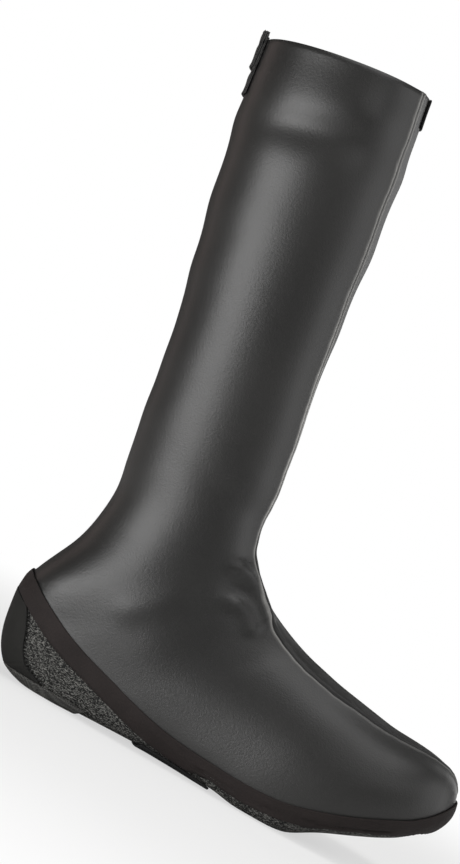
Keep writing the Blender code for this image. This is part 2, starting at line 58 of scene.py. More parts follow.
lightSet = {
    "leftSoftbox": {
        "place": (-0.64, -0.84, 0.16), "aim": (-0.09, 0, 0.16), "size": (0.94, 0.33), "power": 9.0,
    },
    "rightSoftbox": {
        "place": (1.45, 0.15, 0.6), "aim": (-0.05, 0, 0.2), "size": (1.0, 1.4), "power": 6.6,
    },
    "frontSoftbox": {
        "place": (1.15, -0.58, 0.45), "aim": (-0.05, 0, 0.2), "size": (0.6, 1.2), "power": 1.1,
    },
    "toeSoftbox": {
        "place": (0.8, -1.05, 1.1), "aim": (0.1, 0, 0.06), "size": (0.7, 0.7), "power": 2.2,
    },
    "topSoftbox": {
        "place": (0.1, -0.35, 1.7), "aim": (0.0, 0, 0.1), "size": (1.4, 1.0), "power": 11.0,
    },
    "backSoftbox": {
        "place": (0.75, 1.15, 0.5), "aim": (-0.05, 0, 0.2), "size": (0.5, 1.2), "power": 2.5,
    },
    "rimSoftbox": {
        "place": (-1.3, 0.75, 0.4), "aim": (-0.1, 0, 0.24), "size": (0.4, 0.9), "power": 0.8,
        "tint": (1.0, 0.76, 0.70),
    },
}

worldSet = {
    "room": (1.0, 0.98, 0.95, 1),  # dim light from all round
    "roomStrength": 0.09,
    "paper": (1, 1, 1, 1),  # what the camera sees behind the shoe
    "paperStrength": 1.0,
}


def makeCamera():
    data = bpy.data.cameras.new("studioCamera")
    data.sensor_width = cameraSet["sensor"]
    data.lens = cameraSet["sensor"] * cameraSet["distance"] / cameraSet["frameHeight"]
    data.clip_end = cameraSet["clipEnd"]
    camera = bpy.data.objects.new("studioCamera", data)
    camera.location = cameraSet["place"]
    camera.rotation_euler = (math.radians(90), math.radians(-cameraSet["rollDeg"]), 0)
    bpy.context.scene.collection.objects.link(camera)
    bpy.context.scene.camera = camera


def makeLights():
    for name, row in lightSet.items():
        data = bpy.data.lights.new(name, "AREA")
        data.shape = "RECTANGLE"
        data.size, data.size_y = row["size"]
        data.energy = row["power"]
        data.color = row.get("tint", (1, 1, 1))
        lamp = bpy.data.objects.new(name, data)
        lamp.location = row["place"]
        aim = Vector(row["aim"]) - Vector(row["place"])
        lamp.rotation_euler = aim.to_track_quat("-Z", "Y").to_euler()
        bpy.context.scene.collection.objects.link(lamp)


def makeWorld():
    world = bpy.data.worlds.new("studioWorld")
    bpy.context.scene.world = world
    world.use_nodes = True
    tree = world.node_tree
    room = tree.nodes["Background"]
    room.inputs["Color"].default_value = worldSet["room"]
    room.inputs["Strength"].default_value = worldSet["roomStrength"]
    paper = tree.nodes.new("ShaderNodeBackground")
    paper.inputs["Color"].default_value = worldSet["paper"]
    paper.inputs["Strength"].default_value = worldSet["paperStrength"]
    path = tree.nodes.new("ShaderNodeLightPath")
    mix = tree.nodes.new("ShaderNodeMixShader")
    tree.links.new(path.outputs["Is Camera Ray"], mix.inputs["Fac"])
    tree.links.new(room.outputs[0], mix.inputs[1])
    tree.links.new(paper.outputs[0], mix.inputs[2])
    tree.links.new(mix.outputs[0], tree.nodes["World Output"].inputs["Surface"])


makeCamera()
makeLights()
makeWorld()
bpy.context.scene.view_settings.view_transform = "Standard"
print("camera and lights placed")


# shader graph

class Wire:
    def __init__(self, tree, socket):
        self.tree = tree
        self.socket = socket

    def add(self, kind, settings=None, sockets=None, out=0):
        made = self.tree.nodes.new(kind)
        for key, value in (settings or {}).items():
            setattr(made, key, value)
        for key, value in (sockets or {}).items():
            if isinstance(value, Wire):
                self.tree.links.new(value.socket, made.inputs[key])
            else:
                made.inputs[key].default_value = value
        return Wire(self.tree, made.outputs[out])

    def sums(self, operation, first, second=0.0):
        return self.add("ShaderNodeMath", {"operation": operation}, {0: first, 1: second})

    def __add__(self, other):
        return self.sums("ADD", self, other)

    def __radd__(self, other):
        return self.sums("ADD", other, self)

    def __sub__(self, other):
        return self.sums("SUBTRACT", self, other)

    def __rsub__(self, other):
        return self.sums("SUBTRACT", other, self)

    def __mul__(self, other):
        return self.sums("MULTIPLY", self, other)

    def __rmul__(self, other):
        return self.sums("MULTIPLY", other, self)

    def __abs__(self):
        return self.sums("ABSOLUTE", self)

    def sine(self, length):
        return self.sums("SINE", self * (2 * math.pi / length))

    def ramp(self, low, high):
        sockets = {"Value": self, "From Min": low, "From Max": high}
        return self.add("ShaderNodeMapRange", {"interpolation_type": "SMOOTHSTEP"}, sockets)

    def mix(self, first, second):
        return self.add("ShaderNodeMix", {"data_type": "RGBA"}, {0: self, 6: first, 7: second}, 2)

    def noise(self, scale, detail=2.0, rough=0.5, warp=0.0):
        sockets = {"Vector": self, "Scale": scale, "Detail": detail, "Roughness": rough, "Distortion": warp}
        return self.add("ShaderNodeTexNoise", {}, sockets)

    def cells(self, scale):
        return self.add("ShaderNodeTexVoronoi", {}, {"Vector": self, "Scale": scale})

    def stretch(self, x, y, z):
        return self.add("ShaderNodeVectorMath", {"operation": "MULTIPLY"}, {0: self, 1: (x, y, z)})

    def axis(self, index):
        return self.add("ShaderNodeSeparateXYZ", {}, {0: self}, index)

    def attribute(self, name):
        return self.add("ShaderNodeAttribute", {"attribute_name": name}, {}, 2)


def newFinish(name, constants):
    material = bpy.data.materials.new(name)
    material.use_nodes = True
    tree = material.node_tree
    shader = tree.nodes["Principled BSDF"]
    for key, value in constants.items():
        shader.inputs[key].default_value = value
    place = Wire(tree, tree.nodes.new("ShaderNodeTexCoord").outputs["Object"])
    return material, place, shader


def plug(wire, shader, socket):
    wire.tree.links.new(wire.socket, shader.inputs[socket])


def bump(height, shader, distance, strength):
    sockets = {"Height": height, "Distance": distance, "Strength": strength}
    plug(height.add("ShaderNodeBump", {}, sockets), shader, "Normal")


# finishes: noise scales count waves per metre, bump is depth and strength

skinSet = {
    "dark": (0.0125, 0.0122, 0.0118, 1),
    "pale": (0.0190, 0.0186, 0.0178, 1),
    "seam": (0.0035, 0.0033, 0.0031, 1),
    "darkBand": (0.0045, 0.0044, 0.0042, 1),
    # painted highlight: the seam's lips are coloured pale to stand in for the light they catch
    "lip": (0.5, 0.492, 0.472, 1),
    "rough": (0.36, 0.46),
    "seamRough": 0.35,  # added to the skin's own in the groove
    "darkBandRough": 0.2,
    "shine": 0.5,
    "cloud": 9.0,
    "grain": 760.0,
    "pores": 1800.0,
    "darkBandSpots": 160.0,
    "bump": (0.14 * mm, 0.8),
}


def skinFinish():
    material, place, shader = newFinish("neopreneSkin", {"Specular IOR Level": skinSet["shine"]})
    cloud = place.noise(skinSet["cloud"], 3.0)
    grain = place.noise(skinSet["grain"], 2.0, 0.6)
    pores = place.noise(skinSet["pores"])
    groove = place.attribute("seamDepth")
    darkBand = place.attribute("seamDarkBand") * place.noise(skinSet["darkBandSpots"], 3.0).ramp(0.30, 0.55)
    tone = (cloud * 0.7 + grain * 0.3).ramp(0.35, 0.68).mix(skinSet["dark"], skinSet["pale"])
    # painted highlight along the seam's lips
    tone = place.attribute("seamLipHighlight").mix(tone, skinSet["lip"])
    tone = groove.mix(darkBand.mix(tone, skinSet["darkBand"]), skinSet["seam"])
    plug(tone, shader, "Base Color")
    low, high = skinSet["rough"]
    rough = (cloud * 0.5 + grain * 0.5) * (high - low) + low
    plug(rough + groove * skinSet["seamRough"] + darkBand * skinSet["darkBandRough"], shader, "Roughness")
    bump(pores * 0.5 + grain, shader, *skinSet["bump"])
    return material


liningSet = {
    "dark": (0.022, 0.022, 0.024, 1),
    "pale": (0.075, 0.075, 0.079, 1),
    "loop": (1.4 * mm, 1.8 * mm),  # width and height of a loop of the knit
    "fuzz": 1200.0,
    "rough": 0.8,
    "shine": 0.25,
    "bump": (0.18 * mm, 0.8),
}


def liningFinish():
    material, place, shader = newFinish("knitLining", {"Specular IOR Level": liningSet["shine"]})
    x, y, z = place.axis(0), place.axis(1), place.axis(2)
    width, height = liningSet["loop"]
    loops = (x + y).sine(width) * z.sine(height)
    fuzz = place.noise(liningSet["fuzz"], 3.0)
    tone = (loops * 0.35 + fuzz).ramp(0.1, 0.9)
    plug(tone.mix(liningSet["dark"], liningSet["pale"]), shader, "Base Color")
    plug(fuzz * 0.15 + liningSet["rough"], shader, "Roughness")
    bump(loops + fuzz * 0.6, shader, *liningSet["bump"])
    return material


# foam of the collar's cut edge: the cells are its own, the pale tone is partly its colour and partly
# painted highlight where the edge catches light
foamSet = {
    "dark": (0.07, 0.068, 0.066, 1),
    "pale": (0.19, 0.186, 0.18, 1),
    "cells": 2600.0,
    "cloud": 700.0,
    "rough": 0.75,
    "shine": 0.3,
    "bump": (0.12 * mm, 0.8),
}


def foamFinish():
    material, place, shader = newFinish("foamEdgeAndHighlight", {"Specular IOR Level": foamSet["shine"]})
    cells = place.cells(foamSet["cells"])
    tone = (cells * 0.8 + place.noise(foamSet["cloud"], 3.0) * 0.5).ramp(0.2, 0.9)
    plug(tone.mix(foamSet["dark"], foamSet["pale"]), shader, "Base Color")
    plug(cells * 0.1 + foamSet["rough"], shader, "Roughness")
    bump(cells, shader, *foamSet["bump"])
    return material


clothSet = {
    "black": (0.0055, 0.0055, 0.0052, 1),
    "grey": (0.017, 0.017, 0.0163, 1),
    "fleck": (0.205, 0.203, 0.190, 1),
    "yarn": (0.58, 0.58, 1.35),  # the flecks lie along the ground
    "worm": 1250.0,
    "gaps": 1050.0,
    "dust": 2400.0,
    "rough": 0.8,
    "shine": 0.3,
    "bump": (0.2 * mm, 0.8),
}


def clothFinish():
    material, place, shader = newFinish("fleckedCloth", {"Specular IOR Level": clothSet["shine"]})
    yarn = place.stretch(*clothSet["yarn"])
    worm = abs(yarn.noise(clothSet["worm"], 1.0, 0.5, 0.6) - 0.5).ramp(0.10, 0.02)
    broken = yarn.noise(clothSet["gaps"], 1.0).ramp(0.40, 0.55)
    dust = place.noise(clothSet["dust"]).ramp(0.48, 0.75)
    fleck = worm * broken
    ground = dust.mix(clothSet["black"], clothSet["grey"])
    plug(fleck.mix(ground, clothSet["fleck"]), shader, "Base Color")
    plug(dust * 0.1 + clothSet["rough"], shader, "Roughness")
    bump(fleck + dust * 0.4, shader, *clothSet["bump"])
    return material


tapeClothSet = {
    "dark": (0.0115, 0.0088, 0.0083, 1),
    "pale": (0.0235, 0.0180, 0.0170, 1),
    "weave": 0.9 * mm,
    "fuzz": 1100.0,
    "cloud": 45.0,
    "rough": 0.7,
    "shine": 0.22,
    "bump": (0.1 * mm, 0.7),
}


def tapeFinish():
    material, place, shader = newFinish("bindingTape", {"Specular IOR Level": tapeClothSet["shine"]})
    pitch = tapeClothSet["weave"]
    weave = place.axis(0).sine(pitch) * (place.axis(2) + place.axis(1)).sine(pitch)
    fuzz = place.noise(tapeClothSet["fuzz"], 3.0)
    cloud = place.noise(tapeClothSet["cloud"])
    tone = (weave * 0.12 + fuzz * 0.6 + cloud * 0.4).ramp(0.25, 0.78)
    plug(tone.mix(tapeClothSet["dark"], tapeClothSet["pale"]), shader, "Base Color")
    plug(fuzz * 0.12 + tapeClothSet["rough"], shader, "Roughness")
    bump(weave * 0.5 + fuzz, shader, *tapeClothSet["bump"])
    return material


panelClothSet = {
    "dark": (0.0085, 0.0083, 0.0076, 1),
    "pale": (0.0170, 0.0166, 0.0152, 1),
    "fuzz": 1300.0,
    "cloud": 60.0,
    "rough": 0.68,
    "shine": 0.22,
    "bump": (0.12 * mm, 0.7),
}


def panelFinish():
    material, place, shader = newFinish("heelPanel", {"Specular IOR Level": panelClothSet["shine"]})
    fuzz = place.noise(panelClothSet["fuzz"], 3.0, 0.6)
    cloud = place.noise(panelClothSet["cloud"])
    tone = (fuzz * 0.5 + cloud * 0.5).ramp(0.3, 0.72)
    plug(tone.mix(panelClothSet["dark"], panelClothSet["pale"]), shader, "Base Color")
    plug(fuzz * 0.15 + panelClothSet["rough"], shader, "Roughness")
    bump(fuzz, shader, *panelClothSet["bump"])
    return material


# the next two are shared, so a piece's own dictionary gives dark, pale, rough and the weave's pitch

weaveSet = {"fuzz": 1500.0, "shine": 0.35, "bump": (0.25 * mm, 0.8)}
fuzzySet = {"fuzz": 1600.0, "cloud": 120.0, "shine": 0.25, "bump": (0.3 * mm, 0.8)}


def weaveFinish(name, row):
    material, place, shader = newFinish(name, {"Specular IOR Level": weaveSet["shine"]})
    x, y, z = (place.axis(index).sine(row["weave"]) for index in range(3))
    over = x * y + z * y
    fuzz = place.noise(weaveSet["fuzz"], 3.0)
    tone = (over * 0.25 + fuzz).ramp(0.2, 0.85)
    plug(tone.mix(row["dark"], row["pale"]), shader, "Base Color")
    plug(fuzz * 0.15 + row["rough"], shader, "Roughness")
    bump(over * 0.5 + fuzz * 0.5, shader, *weaveSet["bump"])
    return material


def fuzzyFinish(name, row):
    material, place, shader = newFinish(name, {"Specular IOR Level": fuzzySet["shine"]})
    fuzz = place.noise(fuzzySet["fuzz"], 4.0, 0.7, 0.8)
    cloud = place.noise(fuzzySet["cloud"])
    tone = (fuzz * 0.7 + cloud * 0.3).ramp(0.3, 0.7)
    plug(tone.mix(row["dark"], row["pale"]), shader, "Base Color")
    plug(fuzz * 0.1 + row["rough"], shader, "Roughness")
    bump(fuzz, shader, *fuzzySet["bump"])
    return material


# pieces from the solids

copySet = {
    "mergeGap": 0.02 * mm,
    "sharpDeg": 60,  # edges that turn by more than this keep a crease
    "swell": 0.8,  # share of what is missing that one round of smoothOut adds
}


def deselectAll():
    if bpy.context.object and bpy.context.object.mode != "OBJECT":
        bpy.ops.object.mode_set(mode="OBJECT")
    bpy.ops.object.select_all(action="DESELECT")


def takeUp(piece):
    deselectAll()
    piece.select_set(True)
    bpy.context.view_layer.objects.active = piece


def copyNode(nodeName, pieceName):
    piece = bpy.data.objects.new(pieceName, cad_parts[nodeName].data.copy())
    piece.data.name = pieceName
    bpy.context.scene.collection.objects.link(piece)
    takeUp(piece)
    bpy.ops.mesh.customdata_custom_splitnormals_clear()
    bpy.ops.object.mode_set(mode="EDIT")
    bpy.ops.mesh.select_mode(type="EDGE")
    bpy.ops.mesh.select_all(action="SELECT")
    bpy.ops.mesh.remove_doubles(threshold=copySet["mergeGap"])
    bpy.ops.mesh.tris_convert_to_quads(face_threshold=math.pi, shape_threshold=math.pi)
    bpy.ops.mesh.select_all(action="DESELECT")
    bpy.ops.object.mode_set(mode="OBJECT")
    return piece


def holdEdges(piece, crease):
    takeUp(piece)
    bpy.ops.object.mode_set(mode="EDIT")
    bpy.ops.mesh.select_all(action="DESELECT")
    bpy.ops.mesh.edges_select_sharp(sharpness=math.radians(copySet["sharpDeg"]))
    bpy.ops.transform.edge_crease(value=crease)
    bpy.ops.mesh.select_all(action="DESELECT")
    bpy.ops.object.mode_set(mode="OBJECT")


def cutAcross(piece, origin, normal, levels):
    takeUp(piece)
    bpy.ops.object.mode_set(mode="EDIT")
    for level in levels:
        bpy.ops.mesh.select_all(action="SELECT")
        bpy.ops.mesh.bisect(plane_co=Vector(origin) + Vector(normal) * level, plane_no=normal)
    bpy.ops.mesh.select_all(action="DESELECT")
    bpy.ops.object.mode_set(mode="OBJECT")


def readPoints(piece, field="co"):
    flat = np.empty(len(piece.data.vertices) * 3)
    piece.data.vertices.foreach_get(field, flat)
    return flat.reshape(-1, 3)


def readFaces(piece, field):
    flat = np.empty(len(piece.data.polygons) * 3)
    piece.data.polygons.foreach_get(field, flat)
    return flat.reshape(-1, 3)


def writePoints(piece, points):
    piece.data.vertices.foreach_set("co", np.ascontiguousarray(points).ravel())
    piece.data.update()


def smoothOut(piece, levels, rounds=3):
    takeUp(piece)
    smooth = piece.modifiers.new("smooth", "SUBSURF")
    smooth.levels = levels
    smooth.render_levels = levels
    goal = readPoints(piece)
    cage = goal.copy()
    for turn in range(rounds):  # the cage swells until the smooth skin passes through the solid's corners
        writePoints(piece, cage)
        bpy.context.view_layer.update()
        shaped = readPoints(piece.evaluated_get(bpy.context.evaluated_depsgraph_get()))
        cage = cage + copySet["swell"] * (goal - shaped[:len(goal)])
    writePoints(piece, cage)
    bpy.ops.object.modifier_apply(modifier=smooth.name)
    shaped = readPoints(piece)
    shaped[:, 2] = np.maximum(shaped[:, 2], 0)  # nothing swells under the floor
    writePoints(piece, shaped)
    bpy.ops.object.shade_smooth()


def smoothCopy(nodeName, row):
    piece = copyNode(nodeName, row["piece"])
    holdEdges(piece, row["crease"])
    smoothOut(piece, row["levels"])
    return piece


def setFinish(piece, *materials):
    piece.data.materials.clear()
    for material in materials:
        piece.data.materials.append(material)


def standFor(piece, nodeName):
    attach(piece, "root")
    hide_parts(nodeName)


def giveValue(piece, name, values):
    layer = piece.data.attributes.new(name, "FLOAT", "POINT")
    layer.data.foreach_set("value", np.ascontiguousarray(values, dtype=np.float32))


def treeOf(piece):
    return BVHTree.FromObject(piece, bpy.context.evaluated_depsgraph_get())


def between(values, begin, full):
    return np.clip((values - begin) / (full - begin), 0, 1)


def ease(values, begin, full):
    share = between(values, begin, full)
    return share * share * (3 - 2 * share)


def hump(values, width):
    return np.exp(-0.5 * (values / width) ** 2)


def densePath(points, step):
    points = np.array(points, dtype=float)
    run = np.concatenate([[0], np.cumsum(np.linalg.norm(np.diff(points, axis=0), axis=1))])
    stops = np.linspace(0, run[-1], int(run[-1] / step) + 2)
    return np.stack([np.interp(stops, run, points[:, k]) for k in range(points.shape[1])], axis=1)


def nearestOn(path, points, reach):
    tree = KDTree(len(path))
    for number, place in enumerate(path):
        tree.insert(place, number)
    tree.balance()
    number = np.full(len(points), -1)
    away = np.full(len(points), math.inf)
    for index, point in enumerate(points):
        found = tree.find(point)
        if found[2] < reach:
            number[index], away[index] = found[1], found[2]
    return number, away


# round sides of the heel, moved alike on every piece there

heelSet = {
    # place in x and z mm, spread in x and z mm, lift in mm away from the middle
    "swells": ((-50, 60, 19, 28, 3.0), (-98, 60, 15, 28, -2.2), (-14, 55, 22, 26, 1.8)),
    "sides": (8.0, 22.0),  # mm from the middle, where the lift begins and is full
}


def heelShift(points):
    away = points[:, 1] - midY
    lift = np.zeros(len(points))
    for x, z, spreadX, spreadZ, rise in heelSet["swells"]:
        lift += rise * hump(points[:, 0] / mm - x, spreadX) * hump(points[:, 2] / mm - z, spreadZ)
    shift = np.zeros_like(points)
    shift[:, 1] = np.sign(away) * ease(np.abs(away) / mm, *heelSet["sides"]) * lift * mm
    return shift


# upper: ankle, creases, seam, folds and lining

upperSet = {
    "piece": "bootUpper",
    "levels": 2,
    "rounds": 1,
    "crease": 0.8,
    # the shaft's axis
    "pivot": (-0.065, midY, 0.133),
    "up": (-0.1564, 0.0, 0.9877),
    "forward": (0.9877, 0.0, 0.1564),
    "height": 0.292,
    "ringGap": 0.02,  # share of the height, corners nearer than this are one ring
    # line through the hollow from the collar to the toe, in mm
    "core": (
        (-110, -2, 421), (-64, -2, 133), (-64, -2, 85), (-55, -2, 64), (-34, -2, 50), (13, -3, 48),
        (62, -2, 43), (103, 1, 46), (150, 5, 57),
    ),
    "coreStep": 4.0,
    "skinFacing": 0.2,  # skin looks away from that line by more than this cosine
    "rimHeight": 0.9,  # share of the height above which a face along the wall's end is cut edge
    # height share, angle from the front over the outer side, reach in degrees, spread, lift in mm, slope
    "folds": (
        # down the back
        (0.823, 180, 38, 0.026, 1.3, 0.0), (0.745, 186, 34, 0.030, -0.4, 0.0),
        (0.649, 178, 36, 0.034, 1.1, 0.0), (0.505, 184, 34, 0.030, 0.9, 0.0),
        (0.33, 182, 32, 0.040, 0.6, 0.0), (0.20, 180, 32, 0.030, 0.5, 0.0),
        # down the front
        (0.824, -8, 30, 0.026, 1.0, 0.0), (0.735, -8, 28, 0.030, -0.4, 0.0),
        (0.646, -6, 28, 0.034, 0.9, 0.0), (0.467, -8, 30, 0.034, 0.8, 0.0),
        (0.231, -8, 30, 0.034, 0.6, 0.0),
        # outer side under the collar
        (0.834, 108, 40, 0.026, -2.8, -0.03), (0.905, 62, 22, 0.034, 1.8, 0.0),
        (0.76, 112, 50, 0.040, 0.7, -0.02), (0.975, 90, 60, 0.030, -0.5, 0.0),
        # inner side
        (0.800, 262, 42, 0.030, -1.8, 0.05), (0.610, 280, 40, 0.032, -1.2, -0.04),
        (0.40, 258, 44, 0.036, -1.0, 0.05),
        # above the ankle
        (0.155, 46, 17, 0.0055, -0.4, -0.015), (0.055, 20, 46, 0.022, -0.9, 0.05),
        (0.120, 14, 44, 0.024, 0.5, 0.04), (0.070, 318, 40, 0.022, -1.0, -0.05),
    ),
    # side of the foot, lift in mm, width in mm, run in x and z mm
    "strokes": (
        (-1, 3.4, 3.4, ((-22, 125), (-16, 124), (-9, 120), (0, 113), (6, 107))),
        (-1, -1.2, 3.4, ((-20, 114), (-12, 113), (-5, 109), (1, 105))),
        (-1, 2.2, 3.2, ((-16, 105), (-11, 106), (-6, 105), (-1, 102), (3, 97))),
        (-1, 0.9, 6.0, ((-68, 72), (-56, 82), (-46, 92))),
        (-1, -0.6, 7.0, ((-58, 66), (-44, 78), (-33, 92))),
        (1, 1.1, 3.6, ((-24, 117), (-14, 114), (-4, 109), (6, 103))),
        (1, -0.8, 4.0, ((-26, 108), (-15, 106), (-4, 101))),
        (1, 0.8, 6.0, ((-70, 78), (-60, 88), (-52, 100))),
    ),
    # limits of the strokes, all in mm
    "strokeReach": 30.0,
    "strokeSides": (2.0, 12.0),  # from the middle, where a stroke begins and is full
    "strokeTop": 160.0,
    "strokeTape": (0.5, 18.5),  # from the tape
    "tapeReach": 20.0,
    "tapeSpots": 6,  # along each edge of the tape's mesh
}


def shaftPlace(points):
    pivot, up, forward = (np.array(upperSet[key]) for key in ("pivot", "up", "forward"))
    outward = np.array((0.0, -1.0, 0.0))
    away = points - pivot
    ahead, out = away @ forward, away @ outward
    radial = ahead[:, None] * forward + out[:, None] * outward
    radial /= np.maximum(np.linalg.norm(radial, axis=1), 1e-6)[:, None]
    return away @ up / upperSet["height"], np.degrees(np.arctan2(out, ahead)), radial


def foldShift(points):
    height, angle, radial = shaftPlace(points)
    lift = np.zeros(len(points))
    for level, middle, reach, spread, rise, slope in upperSet["folds"]:
        turn = (angle - middle + 180) % 360 - 180
        lift += rise * hump(turn, reach) * hump(height - level - slope * turn / 90, spread)
    return radial * (lift * mm)[:, None]


def coreFacing(points, normals):
    core = densePath(upperSet["core"], upperSet["coreStep"]) * mm
    radial = points - core[nearestOn(core, points, math.inf)[0]]
    return np.einsum("ij,ij->i", radial, normals) / np.maximum(np.linalg.norm(radial, axis=1), 1e-6)


def nearTape(points):
    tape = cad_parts["edge_binding"].data
    shares = np.arange(upperSet["tapeSpots"]) / upperSet["tapeSpots"]
    edges = [[tape.vertices[end].co for end in edge.vertices] for edge in tape.edges]
    spots = np.array([first.lerp(last, share) for first, last in edges for share in shares])
    return nearestOn(spots, points, upperSet["tapeReach"] * mm)[1] / mm


def strokeLift(points):
    lift = np.zeros(len(points))
    flat = points * (1, 0, 1)
    for side, rise, width, run in upperSet["strokes"]:
        path = densePath([(x, 0, z) for x, z in run], 1.0) * mm
        away = nearestOn(path, flat, upperSet["strokeReach"] * mm)[1] / mm
        mine = ease((points[:, 1] - midY) * side / mm, *upperSet["strokeSides"])
        lift += mine * rise * hump(away, width)
    low = points[:, 2] < upperSet["strokeTop"] * mm
    return lift * low * ease(nearTape(points), *upperSet["strokeTape"]) * mm


# where the shaft's rows of faces turn into the foot's, all in mm
ankleSet = {
    "begin": (-132, 55),  # x and z
    "end": (-20, 105),
    "full": 12.0,  # from the line between them, where the evening is full and where it ends
    "none": 24.0,
    "margin": 20.0,  # skin further out that still helps to fit
    "patch": 8.0,
    "grid": 2.2,
    "tape": 3.0,
    "batch": 200,  # points fitted at once
    "sameWay": 0.2,  # cosine between normals of one wall
    "least": 1e-6,  # keeps the fit solvable
}


def ankleShift(points, normals, skin):
    begin, end = (np.array(ankleSet[key]) * mm for key in ("begin", "end"))
    sizes = ("full", "none", "margin", "patch", "grid")
    full, none, margin, patch, grid = (ankleSet[key] * mm for key in sizes)
    run = end - begin
    share = np.clip((points[:, [0, 2]] - begin) @ run / (run @ run), 0, 1)
    away = np.linalg.norm(points[:, [0, 2]] - begin - share[:, None] * run, axis=1)
    pull = between(away, none, full) * skin
    moved = np.flatnonzero(pull > 0)
    pull = ease(pull[moved] * between(nearTape(points[moved]), 0, ankleSet["tape"]), 0, 1)
    around = np.flatnonzero(skin & (away < none + margin))
    around = around[np.unique(np.floor(points[around] / grid), axis=0, return_index=True)[1]]
    lift = np.zeros(len(moved))
    for start in range(0, len(moved), ankleSet["batch"]):  # a curved patch is fitted round each point
        part = moved[start:start + ankleSet["batch"]]
        normal = normals[part]
        side = np.cross(normal, (0.0, 1.0, 0.0))
        side /= np.linalg.norm(side, axis=1)[:, None]
        other = np.cross(normal, side)
        offset = (points[around][None] - points[part][:, None]) / patch
        u, v, h = (np.einsum("ijk,ik->ij", offset, way) for way in (side, other, normal))
        weight = np.exp(-0.5 * (u * u + v * v + h * h)) * (normal @ normals[around].T > ankleSet["sameWay"])
        terms = np.stack([np.ones_like(u), u, v, u * u, u * v, v * v], axis=2)
        matrix = np.einsum("ijk,ijl->ikl", terms * weight[:, :, None], terms)
        matrix += ankleSet["least"] * np.eye(terms.shape[2])
        answer = np.einsum("ijk,ij->ik", terms, weight * h)
        lift[start:start + len(part)] = np.linalg.solve(matrix, answer[:, :, None])[:, 0, 0]
    lift *= pull * patch
    shift = np.zeros_like(points)
    shift[moved] = normals[moved] * lift[:, None]
    print("ankle evened:", len(moved), "points, at most", round(float(np.abs(lift).max() / mm), 2), "mm")
    return shift


# all in mm
seamSet = {
    "bendDeg": 35.0,  # the wall bends in by more than this only along the groove
    "wander": ((0.22, 0.23, 0.0), (0.16, 0.61, 1.0)),  # sideways, turn for each mm, start
    "reach": 12.0,
    "lip": (2.0, 0.45, 0.45),  # place beside the seam, width and height
    "groove": (0.8, -0.65, 0.40),  # width, lift on the foot and on the shaft
    "foot": (165.0, 135.0),  # z where the foot's kind of seam begins and is full
    "outerLip": (1.0, -1.0),  # across the seam, from the inner lip to the outer one
    "footLipHighlight": 0.5,  # share of the lips' painted highlight that the outer lip keeps on the foot, the inner lip keeps none
    # the lips' painted highlight is brightest near the ankle: begin and end of the loss, and the loss
    "upLoss": (210.0, 300.0, 0.5),
    "toeLoss": (-10.0, 70.0, 0.6),
    "darkBand": (5.0, 2.6),  # place and width of a darker, rougher, spotty band beside the seam on its inner side
    "darkBandTop": (220.0, 170.0),
}


def seamRun(piece):
    mesh = bmesh.new()
    mesh.from_mesh(piece.data)
    bend = -math.radians(seamSet["bendDeg"])
    left = {edge for edge in mesh.edges if edge.is_manifold and edge.calc_face_angle_signed() < bend}
    spot = max((end for edge in left for end in edge.verts), key=lambda end: end.co.z)
    run = [tuple(spot.co)]
    ahead = left.intersection(spot.link_edges)
    while ahead:  # from the collar down the groove to the toe
        edge = ahead.pop()
        left.discard(edge)
        spot = edge.other_vert(spot)
        run.append(tuple(spot.co))
        ahead = left.intersection(spot.link_edges)
    mesh.free()
    print("front seam:", len(run), "points, from", np.round(run[0], 3), "to", np.round(run[-1], 3))
    return np.array(run)


def seamShift(piece, seam, points, normals, skin):
    path = densePath(seam / mm, 1.0)
    wave = np.arange(len(path))
    path[:, 1] += sum(size * np.sin(wave * pace + start) for size, pace, start in seamSet["wander"])
    number, away = nearestOn(path, points / mm, seamSet["reach"])
    near = skin & (number >= 0)
    tangent = np.gradient(path, axis=0)
    tangent /= np.linalg.norm(tangent, axis=1)[:, None]
    side = np.einsum("ij,ij->i", np.cross(normals, tangent[number]), points / mm - path[number])
    x, z = points[:, 0] / mm, points[:, 2] / mm
    onFoot = between(z, *seamSet["foot"])
    lipPlace, lipWidth, lipHeight = seamSet["lip"]
    lip = hump(away - lipPlace, lipWidth)
    grooveWidth, footLift, shaftLift = seamSet["groove"]
    groove = hump(away, grooveWidth)
    lift = lip * lipHeight + groove * (footLift * onFoot + shaftLift * (1 - onFoot))
    # painted highlight on the lips: full on the shaft, on the foot only the outer lip keeps part of it
    pale = np.sqrt(lip) * (1 - onFoot * (1 - seamSet["footLipHighlight"] * between(side, *seamSet["outerLip"])))
    loss = 0
    for places, (begin, end, most) in ((z, seamSet["upLoss"]), (x, seamSet["toeLoss"])):
        loss = loss + most * between(places, begin, end)
    # darker, rougher band beside the seam on its inner side, fading out up the shaft
    darkBandPlace, darkBandWidth = seamSet["darkBand"]
    darkBand = hump(side - darkBandPlace, darkBandWidth) * between(z, *seamSet["darkBandTop"])
    giveValue(piece, "seamDepth", np.where(near, groove * onFoot, 0))
    giveValue(piece, "seamLipHighlight", np.where(near, pale * (1 - loss), 0))
    giveValue(piece, "seamDarkBand", np.where(near, darkBand, 0))
    return normals * np.where(near, lift * mm, 0)[:, None]


def ringLevels(piece):
    height = shaftPlace(readPoints(piece))[0]
    gap = upperSet["ringGap"]
    found = []
    for level in sorted(height[height > gap]):
        if not found or level - found[-1] > gap:
            found.append(level)
    return [(low + high) / 2 * upperSet["height"] for low, high in zip(found[:-1], found[1:])]


